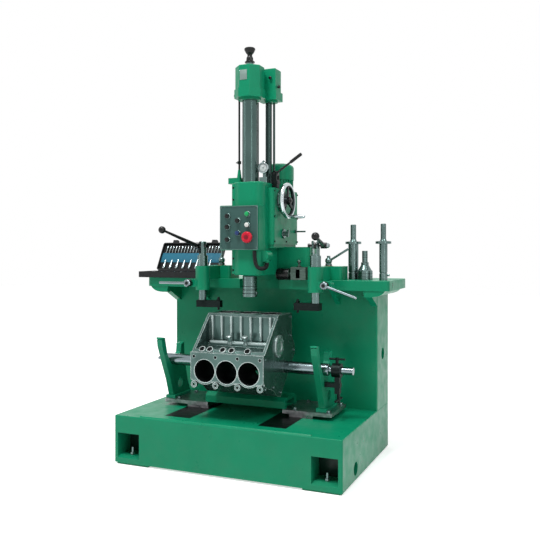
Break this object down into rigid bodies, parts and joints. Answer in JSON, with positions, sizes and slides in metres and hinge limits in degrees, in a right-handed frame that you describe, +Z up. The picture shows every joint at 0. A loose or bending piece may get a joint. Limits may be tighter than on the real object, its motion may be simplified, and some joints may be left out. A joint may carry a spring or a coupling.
{
  "type": "vertical fine boring machine",
  "caption": "Vertical fine boring machine: spindle head and handwheel on a cast table, upright and base, with a V-engine block clamped under the bar in a tilting fixture.",
  "frame": {"origin": "on the floor, under the centre of the base", "axes": "+X to the operator's right, +Y to the back, +Z up"},
  "size_m": [1.447, 0.842, 2.118],
  "materials": {
    "enamel": "satin enamel",
    "enamel_trim": "satin enamel",
    "steel": "ground steel",
    "bright": "bright",
    "dark_steel": "oil-blackened steel",
    "black": "gloss black",
    "panel": "grey-green satin",
    "aluminium": "machined casting",
    "buttons": "gloss",
    "red": "gloss red",
    "hose": "ribbed rubber",
    "gauge": "satin",
    "case": "grained black"
  },
  "bodies": {
    "machine": {"base": "enamel", "levelling_bolts": "steel", "base_ways": "dark_steel", "upright": "enamel", "table": "enamel", "head_casting": "enamel", "motor": "enamel_trim", "gearbox_dials": "gauge", "control_box": "enamel", "control_panel": "panel", "push_buttons": "buttons", "stop_button": "red", "conduit": "hose", "dial_gauge": "gauge", "clutch_bracket": "dark_steel", "depth_stop_rod": "dark_steel", "arms": "enamel", "arm_clamps": "steel", "setting_gauge": "dark_steel", "fixture_plates": "steel", "fixture_beam": "enamel", "cradles": "enamel_trim", "mandrel": "bright", "hold_down": "dark_steel", "engine_block": "aluminium", "spare_bars": "steel", "cutter_head": "steel", "case_tray": "case"},
    "bar": {"boring_bar": "bright", "top_housing": "enamel", "drive_rods": "steel"},
    "spindle": {"spindle": "steel", "top_knob": "black"},
    "handwheel": {"handwheel": "bright", "crank_grip": "bright"},
    "clutch_lever": {"clutch_lever": "black"},
    "post_left": {"post_left": "steel", "clamp_bar_left": "dark_steel"},
    "post_right": {"post_right": "steel", "clamp_bar_right": "dark_steel"},
    "cam_lever_left": {"cam_lever_left": "black"},
    "cam_lever_right": {"cam_lever_right": "black"},
    "clamp_handle_left": {"clamp_handle_left": "bright"},
    "clamp_handle_right": {"clamp_handle_right": "bright"},
    "case_lid": {"case_lid": "case"}
  },
  "joints": [
    {"name": "spindle_feed", "type": "slide", "parent": "machine", "child": "bar", "axis": [0, 0, -1], "range_m": [0, 0.3]},
    {"name": "spindle_spin", "type": "hinge", "parent": "bar", "child": "spindle", "pos_m": [0, -0.09, 0.87], "axis": [0, 0, 1], "continuous": true},
    {"name": "handwheel_turn", "type": "hinge", "parent": "machine", "child": "handwheel", "pos_m": [0.172, 0.004, 1.333], "axis": [1, 0, 0], "continuous": true},
    {"name": "clutch_throw", "type": "hinge", "parent": "machine", "child": "clutch_lever", "pos_m": [0.118, -0.027, 1.472], "axis": [0, 1, 0], "range_deg": [-15, 30]},
    {"name": "post_left_lift", "type": "slide", "parent": "machine", "child": "post_left", "axis": [0, 0, 1], "range_m": [0, 0.04]},
    {"name": "post_right_lift", "type": "slide", "parent": "machine", "child": "post_right", "axis": [0, 0, 1], "range_m": [0, 0.04]},
    {"name": "cam_left_swing", "type": "hinge", "parent": "post_left", "child": "cam_lever_left", "pos_m": [-0.275, -0.09, 1.1], "axis": [-0.9164, 0.4003, 0], "range_deg": [-25, 85]},
    {"name": "cam_right_swing", "type": "hinge", "parent": "post_right", "child": "cam_lever_right", "pos_m": [0.358, -0.09, 1.1], "axis": [-0.9863, -0.165, 0], "range_deg": [-20, 90]},
    {"name": "clamp_left_turn", "type": "hinge", "parent": "machine", "child": "clamp_handle_left", "pos_m": [-0.337, -0.139, 0.904], "axis": [0, 1, 0], "range_deg": [-45, 45]},
    {"name": "clamp_right_turn", "type": "hinge", "parent": "machine", "child": "clamp_handle_right", "pos_m": [0.42, -0.139, 0.904], "axis": [0, 1, 0], "range_deg": [-45, 45]},
    {"name": "lid_hinge", "type": "hinge", "parent": "machine", "child": "case_lid", "pos_m": [-0.5415, 0.197, 0.957], "axis": [1, 0, 0], "range_deg": [0, 117.5]}
  ]
}
